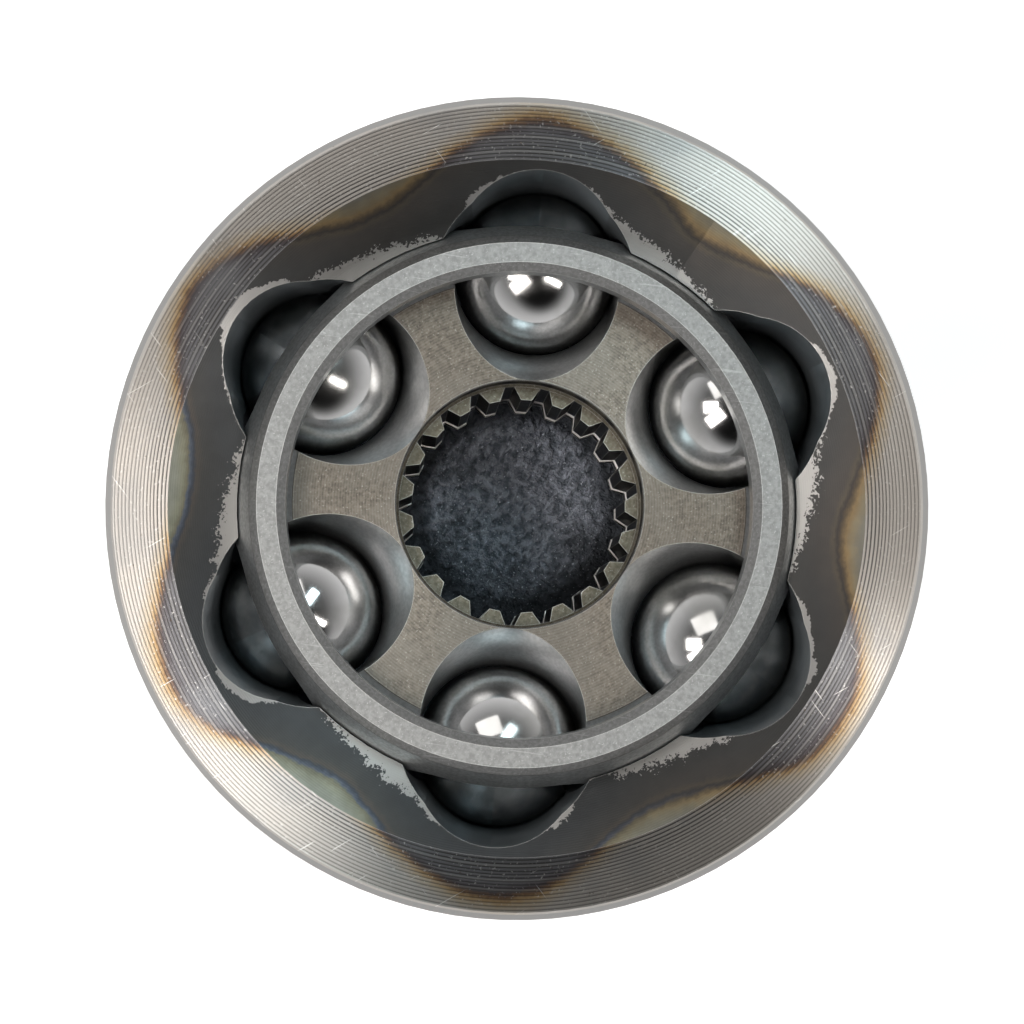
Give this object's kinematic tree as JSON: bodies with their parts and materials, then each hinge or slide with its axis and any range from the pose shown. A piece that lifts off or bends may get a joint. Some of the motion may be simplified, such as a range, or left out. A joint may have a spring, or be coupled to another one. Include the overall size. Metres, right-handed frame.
{
  "type": "constant velocity joint",
  "caption": "Fixed-ball constant velocity joint: open bell on a splined, threaded stub shaft, with balls in a slotted cage round a splined inner race.",
  "frame": {"origin": "the joint's centre, inside the splined bore of the inner race, about which everything bends", "axes": "+Z along the joint's axis and out of the bell's open mouth, so the stub shaft points to -Z; +Y is the axis of the modelled bend and passes through two of the balls"},
  "size_m": [0.0858, 0.0858, 0.153],
  "materials": {
    "machined_forging": "satin",
    "phosphated_cage": "satin",
    "turned_star": "satin",
    "polished_ball": "polished"
  },
  "bodies": {
    "bell": {"outer_race": "machined_forging"},
    "cage": {"cage": "phosphated_cage"},
    "star": {"inner_race": "turned_star"},
    "ball_1": {"ball_1": "polished_ball"},
    "ball_2": {"ball_2": "polished_ball"},
    "ball_3": {"ball_3": "polished_ball"},
    "ball_4": {"ball_4": "polished_ball"},
    "ball_5": {"ball_5": "polished_ball"},
    "ball_6": {"ball_6": "polished_ball"}
  },
  "joints": [
    {"name": "bend", "type": "hinge", "parent": "bell", "child": "star", "pos_m": [0, 0, 0], "axis": [0, 1, 0], "range_deg": [-49.5, 40.5]},
    {"name": "cage_swing", "type": "hinge", "parent": "bell", "child": "cage", "pos_m": [0, 0, 0], "axis": [0, 1, 0], "range_deg": [-25, 21]},
    {"name": "ball_1_roll", "type": "hinge", "parent": "bell", "child": "ball_1", "pos_m": [0, 0, 0.003], "axis": [-0.5, 0.866, 0], "range_deg": [-22, 18]},
    {"name": "ball_2_roll", "type": "hinge", "parent": "bell", "child": "ball_2", "pos_m": [0, 0, 0], "axis": [0, 1, 0], "range_deg": [-25, 21]},
    {"name": "ball_3_roll", "type": "hinge", "parent": "bell", "child": "ball_3", "pos_m": [0, 0, 0.003], "axis": [-0.5, -0.866, 0], "range_deg": [-18, 22]},
    {"name": "ball_4_roll", "type": "hinge", "parent": "bell", "child": "ball_4", "pos_m": [0, 0, 0.003], "axis": [0.5, -0.866, 0], "range_deg": [-18, 22]},
    {"name": "ball_5_roll", "type": "hinge", "parent": "bell", "child": "ball_5", "pos_m": [0, 0, 0], "axis": [0, 1, 0], "range_deg": [-25, 21]},
    {"name": "ball_6_roll", "type": "hinge", "parent": "bell", "child": "ball_6", "pos_m": [0, 0, 0.003], "axis": [0.5, 0.866, 0], "range_deg": [-22, 18]}
  ],
  "couplings": [
    {"joint": "cage_swing", "follows": "bend", "ratio": 0.5},
    {"joint": "ball_1_roll", "follows": "bend", "ratio": 0.4386},
    {"joint": "ball_2_roll", "follows": "bend", "ratio": 0.5},
    {"joint": "ball_3_roll", "follows": "bend", "ratio": -0.4386},
    {"joint": "ball_4_roll", "follows": "bend", "ratio": -0.4386},
    {"joint": "ball_5_roll", "follows": "bend", "ratio": 0.5},
    {"joint": "ball_6_roll", "follows": "bend", "ratio": 0.4386}
  ]
}
